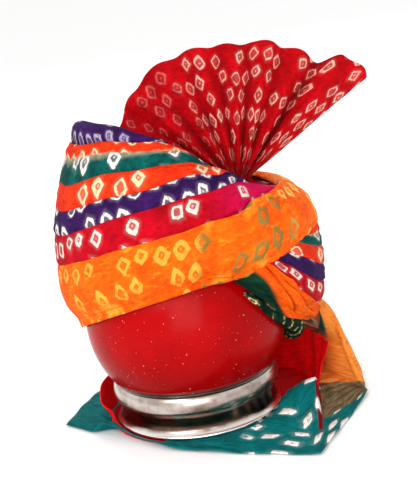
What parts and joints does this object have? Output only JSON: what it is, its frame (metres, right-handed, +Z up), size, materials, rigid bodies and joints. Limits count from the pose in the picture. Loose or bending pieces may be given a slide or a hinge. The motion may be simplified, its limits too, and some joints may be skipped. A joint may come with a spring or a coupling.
{
  "type": "tied turban on a round pot stand",
  "caption": "Wound bandhej turban with a pleated fan, a twisted brim roll and a trailing tail, tied round an upturned pot.",
  "frame": {"origin": "on the floor, under the pot's axis, on the underside of the cloth that the pot stands on", "axes": "+Z up along the pot's axis, -Y the wearer's front, +X the wearer's left"},
  "size_m": [0.2565, 0.3115, 0.3445],
  "materials": {
    "band_purple_upper": "dyed cotton",
    "band_flame_upper": "dyed cotton",
    "band_teal": "dyed cotton",
    "band_flame_lower": "dyed cotton",
    "band_purple_lower": "dyed cotton",
    "band_crimson": "dyed cotton",
    "band_orange": "dyed cotton",
    "wound_core": "folded cotton",
    "crown_cloth": "dyed cotton",
    "brim_roll": "twisted cotton",
    "pleated_fan": "starched cotton",
    "tail_spread": "dyed cotton",
    "tail_fall": "dyed cotton",
    "tail_red_fold": "dyed cotton",
    "pot_body": "gloss",
    "pot_collar": "polished steel"
  },
  "bodies": {
    "root": {"band_purple_upper": "band_purple_upper", "band_flame_upper": "band_flame_upper", "band_teal": "band_teal", "band_flame_lower": "band_flame_lower", "band_purple_lower": "band_purple_lower", "band_crimson": "band_crimson", "band_orange": "band_orange", "wound_core": "wound_core", "crown_cloth": "crown_cloth", "brim_roll": "brim_roll", "pleated_fan": "pleated_fan", "tail_spread": "tail_spread", "tail_fall": "tail_fall", "tail_red_fold": "tail_red_fold", "pot_body": "pot_body", "pot_collar": "pot_collar"}
  },
  "joints": []
}
